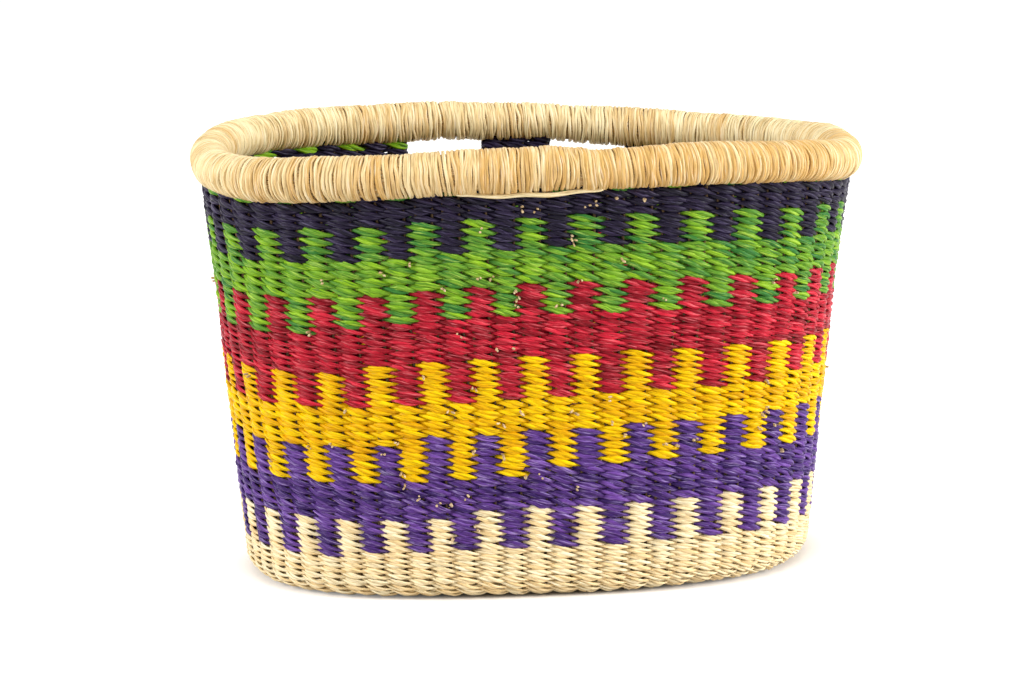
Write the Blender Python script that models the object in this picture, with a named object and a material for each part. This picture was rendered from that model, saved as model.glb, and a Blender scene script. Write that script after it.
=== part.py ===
"""A handwoven straw basket with a rounded oblong mouth, as its maker builds it.

Thirty-five long straw stakes cross in the base in two layers and bend up into seventy uprights.
Rings of coloured weft hold the uprights in channels, a bundle of straw caps them, and lengths
of straw binding close over the bundle and the top of the wall. Two strap slots open in the
back wall under the rim, with a twined bridge between them.

Metres, +Z up. The floor under the basket is z = 0, the mouth is centred on x = y = 0, the long
side with the slots is the back (+Y), and the plain long side is the front (-Y).
"""

import functools
import math

import bmesh
import bpy
import numpy as np
from mathutils import Vector

# The bowl: outer faces of the wall at its top edge and at the floor
MOUTH_LENGTH = 0.3566
MOUTH_WIDTH = 0.2534
FOOT_LENGTH = 0.3140
FOOT_WIDTH = 0.2208
FOOT_SHIFT = 0.0035
FOOT_INNER_EDGE_RADIUS = 0.0055
OUTLINE_POWER = 2.8

# The mouth rises and dips round the basket: waves from +X and +Y, once and twice round
RISE_ONCE_X = -0.0032
RISE_ONCE_Y = 0.0023
RISE_TWICE_X = -0.0028
RISE_TWICE_Y = -0.0031

# Height of each colour of weft on the wall, from the floor up
NATURAL_HEIGHT = 0.0396
PURPLE_HEIGHT = 0.0399
YELLOW_HEIGHT = 0.0415
RED_HEIGHT = 0.0427
GREEN_HEIGHT = 0.0343
NAVY_HEIGHT = 0.0244

# Straw sizes: a strand of weft lies on both faces of each stake
STRAND_THICKNESS = 0.0019
STAKE_WIDTH = 0.0036
STAKE_THICKNESS = 0.0022
CLEARANCE = 0.0003

# Stakes, counted as uprights round the wall; the first stands near the back middle
UPRIGHTS = 70
ACROSS_EACH_SIDE = 11

# How far round the wall the uprights stand from even places, in shares of their spacing
FOOT_TURN_SHARE = 0.18
MOUTH_TURN_SHARE = -0.32

# Strap slots, counted in uprights from the back middle, and the weft left under them
BRIDGE_UPRIGHTS = 3
SLOT_UPRIGHTS = 3
SLOT_SILL = 0.0044

# The rim: a straw bundle bound all round, over the top of the wall
RIM_DIAMETER = 0.0230
BINDING_THICKNESS = 0.0020
RIM_GRIP = 0.0052
BINDING_LENGTHS = 10
BINDING_SIDES = 10
CORE_SIDES = 8

# A loose binding straw tucked under the front of the rim
TUCKED_STRAW_DIAMETER = 0.0020
TUCKED_STRAW_START = -4
TUCKED_STRAW_END = 3

EDGE_STEPS = 2
OUTLINE_SAMPLES = 2880
CUT_OVERRUN = 0.0100

# Colour of each straw, linear RGB, and its roughness
STRAW_NATURAL = (0.80, 0.63, 0.36)
STRAW_RIM = (0.72, 0.54, 0.27)
STRAW_STAKE = (0.62, 0.46, 0.22)
DYED_PURPLE = (0.10, 0.035, 0.26)
DYED_YELLOW = (0.93, 0.56, 0.01)
DYED_RED = (0.52, 0.012, 0.035)
DYED_GREEN = (0.10, 0.36, 0.03)
DYED_NAVY = (0.020, 0.015, 0.055)
STRAW_ROUGHNESS = 0.45
SHARP_ANGLE = math.radians(50)

# Depths into the wall and into the base, from the outer face inwards
STAKE_FACE = STRAND_THICKNESS + CLEARANCE
STAKE_BACK = STAKE_FACE + STAKE_THICKNESS
CHANNEL_BACK = STAKE_BACK + CLEARANCE
WALL_THICKNESS = CHANNEL_BACK + STRAND_THICKNESS
LAYER_STEP = STAKE_THICKNESS + CLEARANCE
BASE_THICKNESS = WALL_THICKNESS + LAYER_STEP
EDGE_RADIUS = BASE_THICKNESS + FOOT_INNER_EDGE_RADIUS

# Heights up the wall
PURPLE_BOTTOM = NATURAL_HEIGHT
YELLOW_BOTTOM = PURPLE_BOTTOM + PURPLE_HEIGHT
RED_BOTTOM = YELLOW_BOTTOM + YELLOW_HEIGHT
GREEN_BOTTOM = RED_BOTTOM + RED_HEIGHT
NAVY_BOTTOM = GREEN_BOTTOM + GREEN_HEIGHT
WALL_TOP = NAVY_BOTTOM + NAVY_HEIGHT
SLOT_BOTTOM = NAVY_BOTTOM + SLOT_SILL
RIM_RADIUS = RIM_DIAMETER / 2
RIM_HEIGHT = WALL_TOP - RIM_GRIP + RIM_RADIUS
BINDING_GAP = WALL_THICKNESS / 2 + CLEARANCE
BRIDGE_REACH = BRIDGE_UPRIGHTS // 2
SLOT_REACH = BRIDGE_REACH + SLOT_UPRIGHTS


@functools.lru_cache(maxsize=None)
def outline(level, inset):
    """Corners between the stakes, on the wall's outline at a level, moved in by an inset."""
    climb_share = level / WALL_TOP
    half_length = (FOOT_LENGTH + (MOUTH_LENGTH - FOOT_LENGTH) * climb_share) / 2
    half_width = (FOOT_WIDTH + (MOUTH_WIDTH - FOOT_WIDTH) * climb_share) / 2
    shift = -FOOT_SHIFT * max(1 - climb_share, 0)
    turn_share = FOOT_TURN_SHARE + (MOUTH_TURN_SHARE - FOOT_TURN_SHARE) * climb_share
    rise_share = max(level - EDGE_RADIUS, 0) / (WALL_TOP - EDGE_RADIUS)

    turn = np.linspace(0, 2 * math.pi, OUTLINE_SAMPLES + 1) + math.pi / 2
    across, deep = np.cos(turn), np.sin(turn)
    x = half_length * np.sign(across) * np.abs(across) ** (2 / OUTLINE_POWER)
    y = half_width * np.sign(deep) * np.abs(deep) ** (2 / OUTLINE_POWER)

    run = np.concatenate([[0], np.cumsum(np.hypot(np.diff(x), np.diff(y)))])
    stops = (np.arange(UPRIGHTS) + 1 / 2 + turn_share) / UPRIGHTS * run[-1]
    x, y, turn = (np.interp(stops, run, values) for values in (x, y, turn))
    rise_once = RISE_ONCE_X * np.cos(turn) + RISE_ONCE_Y * np.sin(turn)
    rise_twice = RISE_TWICE_X * np.cos(2 * turn) + RISE_TWICE_Y * np.sin(2 * turn)
    heights = level + (rise_once + rise_twice) * rise_share

    tangent_x = np.roll(x, -1) - np.roll(x, 1)
    tangent_y = np.roll(y, -1) - np.roll(y, 1)
    size = np.hypot(tangent_x, tangent_y)
    x = x - inset * tangent_y / size + shift
    y = y + inset * tangent_x / size
    return [Vector(place) for place in zip(x, y, heights)]


def corner(index, level, inset):
    """The corner between upright number index and the next one."""
    return outline(level, inset)[index % UPRIGHTS]


def beside_upright(index, level, inset, sideways):
    """A point on the facet that an upright stands behind, off to one side of its middle."""
    before, after = corner(index - 1, level, inset), corner(index, level, inset)
    return (before + after) / 2 + (after - before).normalized() * sideways


def edge_profile(wall_depth, base_depth, step):
    """Inset and height of a layer at one step of the bend from the wall into the base."""
    turn = math.pi / 2 * step / EDGE_STEPS
    inset = EDGE_RADIUS - (EDGE_RADIUS - wall_depth) * math.cos(turn)
    height = EDGE_RADIUS - (EDGE_RADIUS - base_depth) * math.sin(turn)
    return inset, height


def make_material(name, colour):
    material = bpy.data.materials.new(name)
    material.use_nodes = True
    shader = material.node_tree.nodes["Principled BSDF"]
    shader.inputs["Base Color"].default_value = (*colour, 1)
    shader.inputs["Roughness"].default_value = STRAW_ROUGHNESS
    material.diffuse_color = (*colour, 1)
    return material


def make_object(name, bm, material, collection):
    """Turn a bmesh into a named object whose faces point outwards."""
    bmesh.ops.recalc_face_normals(bm, faces=bm.faces)
    mesh = bpy.data.meshes.new(name)
    bm.to_mesh(mesh)
    bm.free()
    mesh.shade_smooth()
    mesh.set_sharp_from_angle(angle=SHARP_ANGLE)
    if material:
        mesh.materials.append(material)
    made = bpy.data.objects.new(name, mesh)
    collection.objects.link(made)
    return made


def new_vertices(result):
    return [item for item in result["geom"] if isinstance(item, bmesh.types.BMVert)]


def new_edges(result):
    return [item for item in result["geom"] if isinstance(item, bmesh.types.BMEdge)]


def new_faces(result):
    return [item for item in result["geom"] if isinstance(item, bmesh.types.BMFace)]


def loop_round_wall(bm, level, inset, filled):
    """A closed loop of one corner for each upright, filled or open; its corners are numbered."""
    number = bm.verts.layers.int.new("number")
    ring = bmesh.ops.create_circle(bm, cap_ends=filled, segments=UPRIGHTS, radius=MOUTH_LENGTH)
    for index, vertex in enumerate(ring["verts"]):
        vertex[number] = index
        vertex.co = corner(index, level, inset)
    return number


def extrude_loop(bm, edges, number, level, inset):
    """Carry an open loop on to its next place, with new faces behind it."""
    result = bmesh.ops.extrude_edge_only(bm, edges=edges)
    for vertex in new_vertices(result):
        vertex.co = corner(vertex[number], level, inset)
    return new_edges(result)


def make_weft_ring(name, bottom, top, material, collection):
    """A ring of weft round the wall, with an upright channel for each stake."""
    bm = bmesh.new()
    number = loop_round_wall(bm, bottom, 0, filled=False)
    side = bm.verts.layers.int.new("side")
    depth = bm.verts.layers.float.new("depth")
    inner = bmesh.ops.extrude_edge_only(bm, edges=bm.edges[:])
    for vertex in new_vertices(inner):
        vertex[depth] = WALL_THICKNESS
        vertex.co = corner(vertex[number], bottom, WALL_THICKNESS)

    # Each cell of the ring holds one upright: inset it, and open the middle as the channel
    cells = bm.faces[:]
    uprights = {cell: upright_of_cell(cell, number) for cell in cells}
    bmesh.ops.inset_individual(bm, faces=cells, thickness=STRAND_THICKNESS)
    for cell, upright in uprights.items():
        for vertex in cell.verts:
            vertex[side] = 1 if vertex[number] == upright else -1
            vertex[number] = upright
            vertex[depth] = CHANNEL_BACK if vertex[depth] > 0 else STRAND_THICKNESS
    bmesh.ops.delete(bm, geom=cells, context="FACES_ONLY")

    half_channel = STAKE_WIDTH / 2 + CLEARANCE

    def place(vertices, level):
        for vertex in vertices:
            if vertex[side]:
                sideways = vertex[side] * half_channel
                vertex.co = beside_upright(vertex[number], level, vertex[depth], sideways)
            else:
                vertex.co = corner(vertex[number], level, vertex[depth])

    place(bm.verts, bottom)
    raised, _ = extrude_section(bm, bm.faces[:])
    place(raised, top)
    return make_object(name, bm, material, collection)


def upright_of_cell(cell, number):
    """The upright behind a facet has the number of the facet's second corner."""
    numbers = sorted({vertex[number] for vertex in cell.verts})
    wraps_round = numbers[-1] - numbers[0] > 1
    return numbers[0] if wraps_round else numbers[-1]


def extrude_section(bm, section):
    """Carry a filled section one place on, leaving no wall across the inside of the body."""
    starts_body = len(bm.faces) == len(section)
    result = bmesh.ops.extrude_face_region(bm, geom=section)
    if not starts_body:
        bmesh.ops.delete(bm, geom=section, context="FACES_ONLY")
    return new_vertices(result), new_faces(result)


def make_base_face(name, wall_depths, base_depths, material, collection):
    """One face of the base weft: a thin dish whose edge turns up into the natural band."""
    bm = bmesh.new()
    outer_wall, inner_wall = wall_depths
    outer_base, inner_base = base_depths
    inset, height = edge_profile(outer_wall, outer_base, EDGE_STEPS)
    number = loop_round_wall(bm, height, inset, filled=True)
    loop = bm.edges[:]
    for step in reversed(range(EDGE_STEPS)):
        inset, height = edge_profile(outer_wall, outer_base, step)
        loop = extrude_loop(bm, loop, number, height, inset)
    loop = extrude_loop(bm, loop, number, NATURAL_HEIGHT, outer_wall)
    loop = extrude_loop(bm, loop, number, NATURAL_HEIGHT, inner_wall)
    for step in range(EDGE_STEPS + 1):
        inset, height = edge_profile(inner_wall, inner_base, step)
        loop = extrude_loop(bm, loop, number, height, inset)
    bmesh.ops.edgeloop_fill(bm, edges=loop)
    return make_object(name, bm, material, collection)


def stake_section(upright, wall_depths, base_depths, step, top):
    """The four corners of a stake's section on its way down one upright and into the base."""
    spots = []
    for wall_depth, base_depth in zip(wall_depths, base_depths):
        inset, height = edge_profile(wall_depth, base_depth, max(step, 0))
        if step < 0:
            inset, height = wall_depth, top
        for sideways in (-STAKE_WIDTH / 2, STAKE_WIDTH / 2):
            spots.append(beside_upright(upright, height, inset, sideways))
    return spots


def make_stake(name, first, second, layer, material, collection):
    """A straw stake: down one upright, across the base in its layer, and up the other."""
    wall_depths = (STAKE_FACE, STAKE_BACK)
    base_depths = tuple(depth + layer * LAYER_STEP for depth in wall_depths)
    steps = range(-1, EDGE_STEPS + 1)
    sections = [stake_section(first, wall_depths, base_depths, step, upright_top(first)) for step in steps]
    for step in reversed(steps):
        section = stake_section(second, wall_depths, base_depths, step, upright_top(second))
        # Sideways runs the other way round the outline on the far wall
        sections.append([section[place] for place in (1, 0, 3, 2)])

    bm = bmesh.new()
    place = bm.verts.layers.int.new("place")
    grid = bmesh.ops.create_grid(bm, x_segments=1, y_segments=1, size=STAKE_WIDTH)
    for index, vertex in enumerate(grid["verts"]):
        vertex[place] = index
        vertex.co = sections[0][index]
    end = bm.faces[:]
    for section in sections[1:]:
        vertices, end = extrude_section(bm, end)
        for vertex in vertices:
            vertex.co = section[vertex[place]]
    return make_object(name, bm, material, collection)


def upright_top(upright):
    """Uprights end under the rim's bundle, or at the sill where a strap slot opens above them."""
    from_back = min(upright % UPRIGHTS, -upright % UPRIGHTS)
    in_slot = BRIDGE_REACH < from_back <= SLOT_REACH
    return SLOT_BOTTOM if in_slot else WALL_TOP


def make_stakes(material, collection):
    """Stakes that cross the base front to back lie under those that run from end to end."""
    half_way = UPRIGHTS // 2
    for count, back in enumerate(range(-ACROSS_EACH_SIDE, ACROSS_EACH_SIDE + 1), start=1):
        name = f"cross_stake_{count:02d}"
        make_stake(name, back, half_way - back, 0, material, collection)
    ends = range(ACROSS_EACH_SIDE + 1, half_way - ACROSS_EACH_SIDE)
    for count, end in enumerate(ends, start=1):
        name = f"long_stake_{count:02d}"
        make_stake(name, end, -end, 1, material, collection)


def make_block(name, reach, bottom, top, collection):
    """A block over the uprights nearest the back middle, used only to cut or trim the weft there."""
    bm = bmesh.new()
    cube = bmesh.ops.create_cube(bm, size=RIM_DIAMETER + WALL_THICKNESS)
    for vertex in cube["verts"]:
        index = reach if vertex.co.x < 0 else -reach - 1
        end = corner(index, bottom if vertex.co.z < 0 else top, WALL_THICKNESS / 2)
        vertex.co = (end.x, vertex.co.y + MOUTH_WIDTH / 2, end.z)
    block = make_object(name, bm, None, collection)
    block.hide_render = True
    block.display_type = "WIRE"
    return block


def cut_with(target, cutter, operation):
    modifier = target.modifiers.new(cutter.name, "BOOLEAN")
    modifier.operation = operation
    modifier.object = cutter


def make_wall_weft(materials, collection, cutters):
    bands = (
        ("weft_purple", PURPLE_BOTTOM, YELLOW_BOTTOM, "purple"),
        ("weft_yellow", YELLOW_BOTTOM, RED_BOTTOM, "yellow"),
        ("weft_red", RED_BOTTOM, GREEN_BOTTOM, "red"),
        ("weft_green", GREEN_BOTTOM, NAVY_BOTTOM, "green"),
        ("weft_navy", NAVY_BOTTOM, WALL_TOP, "navy"),
    )
    rings = {}
    for name, bottom, top, colour in bands:
        rings[name] = make_weft_ring(name, bottom + CLEARANCE, top, materials[colour], collection)

    over = WALL_TOP + CUT_OVERRUN
    slots = make_block("slot_cutter", SLOT_REACH, SLOT_BOTTOM, over, cutters)
    cut_with(rings["weft_navy"], slots, "DIFFERENCE")

    bridge = make_weft_ring("slot_bridge", SLOT_BOTTOM + CLEARANCE, WALL_TOP, materials["navy"], collection)
    trim = make_block("bridge_trim", BRIDGE_REACH, NAVY_BOTTOM, over, cutters)
    cut_with(bridge, trim, "INTERSECT")


def round_section(radius, sides, flat_half_width):
    """Points round a circle from the right end of a flat underside to its left end."""
    start = math.asin(flat_half_width / radius) - math.pi / 2
    sweep = 2 * math.pi - 2 * (start + math.pi / 2)
    turns = [start + sweep * index / (sides - 1) for index in range(sides)]
    return [(radius * math.cos(turn), radius * math.sin(turn)) for turn in turns]


def rim_spot(index, out, up):
    """A point of the rim's section, at the corner beyond an upright; it leans as the wall does."""
    return corner(index, RIM_HEIGHT + up, WALL_THICKNESS / 2 - out)


def make_rim_core(material, collection):
    """The bundle of straw inside the rim, flat where it sits on the top of the wall."""
    drop = RIM_RADIUS - RIM_GRIP - CLEARANCE
    bundle = round_section(RIM_RADIUS - BINDING_THICKNESS - CLEARANCE, CORE_SIDES, BINDING_GAP)
    section = [(out, max(up, -drop)) for out, up in bundle]
    bm = bmesh.new()
    middle = WALL_THICKNESS / 2
    out, up = section[0]
    number = loop_round_wall(bm, RIM_HEIGHT + up, middle - out, filled=False)
    first = loop = bm.edges[:]
    for out, up in section[1:]:
        loop = extrude_loop(bm, loop, number, RIM_HEIGHT + up, middle - out)
    bmesh.ops.bridge_loops(bm, edges=first + loop)
    return make_object("rim_core", bm, material, collection)


def make_rim_binding(name, start, end, material, collection):
    """One length of straw binding: a tube round the bundle, open below where the wall comes in."""
    outside = round_section(RIM_RADIUS, BINDING_SIDES, BINDING_GAP)
    inside = round_section(RIM_RADIUS - BINDING_THICKNESS, CORE_SIDES, BINDING_GAP)
    section = outside + inside[::-1]

    bm = bmesh.new()
    place = bm.verts.layers.int.new("place")
    ring = bmesh.ops.create_circle(bm, cap_ends=True, segments=len(section), radius=RIM_RADIUS)
    end_gap = {start: CLEARANCE / 2, end: -CLEARANCE / 2}

    def put(vertices, index):
        along = (rim_spot(index + 1, 0, 0) - rim_spot(index - 1, 0, 0)).normalized()
        for vertex in vertices:
            vertex.co = rim_spot(index, *section[vertex[place]]) + along * end_gap.get(index, 0)

    for index, vertex in enumerate(ring["verts"]):
        vertex[place] = index
    put(ring["verts"], start)
    face = bm.faces[:]
    for index in range(start + 1, end + 1):
        vertices, face = extrude_section(bm, face)
        put(vertices, index)
    return make_object(name, bm, material, collection)


def make_rim_bindings(material, collection):
    """Lengths of binding, laid end to end from the back middle round the mouth."""
    ends = [round(UPRIGHTS * count / BINDING_LENGTHS) for count in range(BINDING_LENGTHS + 1)]
    for count, (start, end) in enumerate(zip(ends, ends[1:]), start=1):
        make_rim_binding(f"rim_binding_{count:02d}", start, end, material, collection)


def make_tucked_straw(material, collection):
    """A loose end of binding straw, tucked along the wall under the front of the rim."""
    radius = TUCKED_STRAW_DIAMETER / 2
    height = RIM_HEIGHT - RIM_RADIUS - CLEARANCE - radius
    middle = UPRIGHTS // 2
    curve = bpy.data.curves.new("tucked_straw", "CURVE")
    curve.dimensions = "3D"
    curve.bevel_depth = radius
    curve.bevel_resolution = 1
    curve.use_fill_caps = True
    spline = curve.splines.new("POLY")
    places = range(middle + TUCKED_STRAW_START, middle + TUCKED_STRAW_END + 1)
    spline.points.add(len(places) - 1)
    for point, index in zip(spline.points, places):
        point.co = (*corner(index, height, -radius - CLEARANCE), 1)
    curve.materials.append(material)
    straw = bpy.data.objects.new("tucked_straw", curve)
    collection.objects.link(straw)
    return straw


def make_basket():
    for leftover in list(bpy.data.objects):
        bpy.data.objects.remove(leftover)
    basket = bpy.data.collections.new("bolga_basket")
    cutters = bpy.data.collections.new("cutters")
    for collection in (basket, cutters):
        bpy.context.scene.collection.children.link(collection)

    colours = {
        "natural": STRAW_NATURAL,
        "rim": STRAW_RIM,
        "stake": STRAW_STAKE,
        "purple": DYED_PURPLE,
        "yellow": DYED_YELLOW,
        "red": DYED_RED,
        "green": DYED_GREEN,
        "navy": DYED_NAVY,
    }
    materials = {name: make_material(f"straw_{name}", colour) for name, colour in colours.items()}

    wall_outside, wall_inside = (0, STRAND_THICKNESS), (CHANNEL_BACK, WALL_THICKNESS)
    base_inside = tuple(depth + LAYER_STEP for depth in wall_inside)
    make_base_face("base_weft_outside", wall_outside, wall_outside, materials["natural"], basket)
    make_base_face("base_weft_inside", wall_inside, base_inside, materials["natural"], basket)
    make_stakes(materials["stake"], basket)
    make_wall_weft(materials, basket, cutters)
    make_rim_core(materials["stake"], basket)
    make_rim_bindings(materials["rim"], basket)
    make_tucked_straw(materials["rim"], basket)
    print(f"Rim {MOUTH_LENGTH - WALL_THICKNESS + RIM_DIAMETER:.4f} m long, "
          f"{MOUTH_WIDTH - WALL_THICKNESS + RIM_DIAMETER:.4f} m deep, top at {RIM_HEIGHT + RIM_RADIUS:.4f} m")


make_basket()
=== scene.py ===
# %% [markdown]
# # A twined straw basket
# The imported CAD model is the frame: it says how long, wide and high the basket is and where each
# upright stands. Everything made below is laid in that same frame, in metres, so that nothing
# has to be fitted afterwards.

# %% Load the frame
import math

import bmesh
import bpy
import numpy as np
from mathutils import Matrix, Vector


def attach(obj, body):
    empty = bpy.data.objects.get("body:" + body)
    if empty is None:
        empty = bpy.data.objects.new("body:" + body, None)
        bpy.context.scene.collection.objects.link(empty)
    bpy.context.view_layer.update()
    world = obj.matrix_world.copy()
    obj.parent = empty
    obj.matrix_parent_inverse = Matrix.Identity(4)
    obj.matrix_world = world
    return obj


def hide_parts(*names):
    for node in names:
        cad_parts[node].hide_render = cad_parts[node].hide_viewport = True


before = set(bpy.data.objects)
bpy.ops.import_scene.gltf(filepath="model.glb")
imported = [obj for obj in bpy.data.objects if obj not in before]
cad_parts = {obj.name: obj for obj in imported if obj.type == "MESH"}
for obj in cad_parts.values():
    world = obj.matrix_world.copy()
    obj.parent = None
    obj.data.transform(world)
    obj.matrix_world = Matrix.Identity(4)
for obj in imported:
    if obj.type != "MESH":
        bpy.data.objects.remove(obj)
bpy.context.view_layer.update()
BODY = "root"

# %% [markdown]
# ## The camera
# The photograph was taken from a little above, with a long lens, a few degrees to the left of the
# basket's middle. A long lens keeps the two sides of the basket almost parallel. The camera is set
# by its place and its three axes, because a turn about its own line of sight is easier to give
# that way than as three angles.

# %% Camera
# The picture's width and the focal length are in pixels, the sensor's width in millimetres
IMAGE_WIDTH = 1035
FOCAL_LENGTH = 3139.3
SENSOR_WIDTH = 36.0
CAMERA_PLACE = Vector((-0.11458, -1.74352, 0.39524))
CAMERA_TURN, CAMERA_DIP, CAMERA_ROLL = 0.0625, 0.1568, -0.0248


def make_camera():
    along = Vector((math.sin(CAMERA_TURN), math.cos(CAMERA_TURN), 0))
    side = Vector((math.cos(CAMERA_TURN), -math.sin(CAMERA_TURN), 0))
    up = along * math.sin(CAMERA_DIP) + Vector((0, 0, math.cos(CAMERA_DIP)))
    right = side * math.cos(CAMERA_ROLL) + up * math.sin(CAMERA_ROLL)
    above = up * math.cos(CAMERA_ROLL) - side * math.sin(CAMERA_ROLL)
    turned = Matrix((right, above, right.cross(above))).transposed().to_4x4()
    lens = bpy.data.cameras.new("camera")
    lens.sensor_width = SENSOR_WIDTH
    lens.lens = FOCAL_LENGTH * SENSOR_WIDTH / IMAGE_WIDTH
    camera = bpy.data.objects.new("camera", lens)
    camera.matrix_world = Matrix.Translation(CAMERA_PLACE) @ turned
    bpy.context.scene.collection.objects.link(camera)
    bpy.context.scene.camera = camera
    return camera


print("lens", round(make_camera().data.lens, 1), "mm")

# %% [markdown]
# ## The wall that the straw follows
# Every strand lies on one surface: up the wall, round the bend at the foot, and in under the base.
# The surface is a rounded oblong (a superellipse) at each height. It is worked out once, as a table
# over two numbers: `share`, how far round from the back middle, and `climb`, how far up the wall's
# own profile. A strand is then only a list of shares, climbs and distances in or out.

# %% Shape of the wall
MOUTH_LENGTH, MOUTH_WIDTH = 0.3566, 0.2534
FOOT_LENGTH, FOOT_WIDTH = 0.3140, 0.2208
# The foot stands a little to the left of the mouth
FOOT_SHIFT = 0.0035
OUTLINE_POWER = 2.8
WALL_TOP = 0.2224
# How deep the surface lies under the outer face: halfway into the wall, and into the base
WALL_MIDDLE = 0.0033
BASE_MIDDLE = 0.00455
EDGE_RADIUS = 0.0146
BEND_LENGTH = 0.0168
# The climb where the bend ends and the flat base begins
BASE_EDGE = EDGE_RADIUS - BEND_LENGTH

# The courses rise and dip a little round the basket, as handwork does
WAVE = ((-0.0032, 0.0023), (-0.0028, -0.0031))

# The table's size: it starts just short of the base's middle
CLIMB_LOW, CLIMB_HIGH, CLIMB_ROWS = -0.0970, 0.2320, 264
SHARE_COLUMNS = 1440


def bend_share_at(climb):
    """How far round the bend at the foot a climb lies: 0 on the wall, 1 on the base."""
    return np.clip((EDGE_RADIUS - climb) / BEND_LENGTH, 0, 1)


def place_on_profile(climb):
    """Height, inset from the outline, and how far the surface faces down, at a climb."""
    bend = bend_share_at(climb) * math.pi / 2
    height = max(climb, EDGE_RADIUS) - (EDGE_RADIUS - BASE_MIDDLE) * math.sin(bend)
    inset = EDGE_RADIUS - (EDGE_RADIUS - WALL_MIDDLE) * math.cos(bend)
    inset += max(BASE_EDGE - climb, 0)
    return height, inset, bend


def wave_at(turn, height):
    """How far the courses are raised at an angle round the basket."""
    total = 0
    for count, (across, deep) in enumerate(WAVE, start=1):
        total = total + across * np.cos(turn * count) + deep * np.sin(turn * count)
    return total * max(height - EDGE_RADIUS, 0) / (WALL_TOP - EDGE_RADIUS)


def outline_row(climb):
    """Places and outward directions all round the basket at one climb."""
    height, inset, bend = place_on_profile(climb)
    grown = height / WALL_TOP
    half_length = (FOOT_LENGTH + (MOUTH_LENGTH - FOOT_LENGTH) * grown) / 2 - inset
    half_width = (FOOT_WIDTH + (MOUTH_WIDTH - FOOT_WIDTH) * grown) / 2 - inset
    turn = np.linspace(0, 2 * math.pi, 2 * SHARE_COLUMNS + 1) + math.pi / 2
    across, deep = np.cos(turn), np.sin(turn)
    x = half_length * np.sign(across) * np.abs(across) ** (2 / OUTLINE_POWER)
    y = half_width * np.sign(deep) * np.abs(deep) ** (2 / OUTLINE_POWER)
    run = np.concatenate([[0], np.cumsum(np.hypot(np.diff(x), np.diff(y)))])
    stops = np.linspace(0, run[-1], SHARE_COLUMNS + 1)
    x, y, turn = (np.interp(stops, run, values) for values in (x, y, turn))
    slope_x, slope_y = np.gradient(x), np.gradient(y)
    slope_x[0] = slope_x[-1] = x[1] - x[-2]
    slope_y[0] = slope_y[-1] = y[1] - y[-2]
    size = np.hypot(slope_x, slope_y)
    level = np.cos(bend)
    place = (x - FOOT_SHIFT * max(1 - grown, 0), y, height + wave_at(turn, height))
    outward = (slope_y / size * level, -slope_x / size * level, np.full(len(x), -np.sin(bend)))
    return np.stack(place + outward, axis=-1), run[-1]


CLIMBS = np.linspace(CLIMB_LOW, CLIMB_HIGH, CLIMB_ROWS)
rows = [outline_row(climb) for climb in CLIMBS]
SURFACE = np.stack([row for row, _ in rows])
GIRTHS = np.array([girth for _, girth in rows])


def lay(share, climb, out):
    """Points in space for shares, climbs and distances outwards."""
    column = np.mod(share, 1) * SHARE_COLUMNS
    row = (climb - CLIMB_LOW) / (CLIMB_HIGH - CLIMB_LOW) * (CLIMB_ROWS - 1)
    row = np.clip(row, 0, CLIMB_ROWS - 1.001)
    left, below = np.floor(column).astype(int), np.floor(row).astype(int)
    left = np.clip(left, 0, SHARE_COLUMNS - 1)
    aside, above = (column - left)[..., None], (row - below)[..., None]
    lower = SURFACE[below, left] * (1 - aside) + SURFACE[below, left + 1] * aside
    upper = SURFACE[below + 1, left] * (1 - aside) + SURFACE[below + 1, left + 1] * aside
    found = lower * (1 - above) + upper * above
    return found[..., :3] + found[..., 3:] * out[..., None]


def outward_at(share, climb):
    """The wall's outward direction."""
    return lay(share, climb, np.ones(share.shape)) - lay(share, climb, np.zeros(share.shape))


print("girth at the mouth", round(GIRTHS[-1], 4), "m")

# %% [markdown]
# ## Handwork
# No two stitches are alike. A few slow waves, summed, move the courses up and down and the wall in
# and out, and a seeded generator gives each stitch its own size and tint. The seed makes every
# run give the same basket.

# %% Unevenness
chance = np.random.default_rng(20)


def slow_waves(count, round_counts, climb_length):
    """A smooth random surface over share and climb, about one unit high."""
    rounds = chance.integers(*round_counts, count)
    rises = chance.normal(0, 1 / climb_length, count)
    phases = chance.uniform(0, 2 * math.pi, count)
    sizes = chance.uniform(0.5, 1, count) / math.sqrt(count)

    def surface(share, climb):
        total = 0
        for rounded, rise, phase, size in zip(rounds, rises, phases, sizes):
            total = total + size * np.sin(2 * math.pi * rounded * share + rise * climb + phase)
        return total

    return surface


drift_up = slow_waves(count=9, round_counts=(3, 17), climb_length=0.030)
drift_out = slow_waves(count=9, round_counts=(3, 15), climb_length=0.035)
drift_along = slow_waves(count=9, round_counts=(4, 24), climb_length=0.020)
# How high the drifts are: up and out in metres, along in shares of the round
DRIFT_UP, DRIFT_OUT, DRIFT_ALONG = 0.0005, 0.0006, 0.0006

# %% [markdown]
# ## Where this basket strays
# Beyond chance, this one basket leans its own way: on the front its courses sag on the left, and
# its uprights spread a little towards the rim. That was measured at a few uprights and heights,
# and the table is read in between with a smooth blend, so that no kink shows.

# %% Strays measured on the front
UPRIGHTS = 70
# Each table has a row for each climb and a column for each upright
STRAY_UPRIGHTS = (14, 20, 24, 28, 32, 36, 40, 44, 48, 56)
STRAY_CLIMBS = (-0.0022, 0.012, 0.045, 0.080, 0.115, 0.150, 0.185, 0.213, 0.222)
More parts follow.
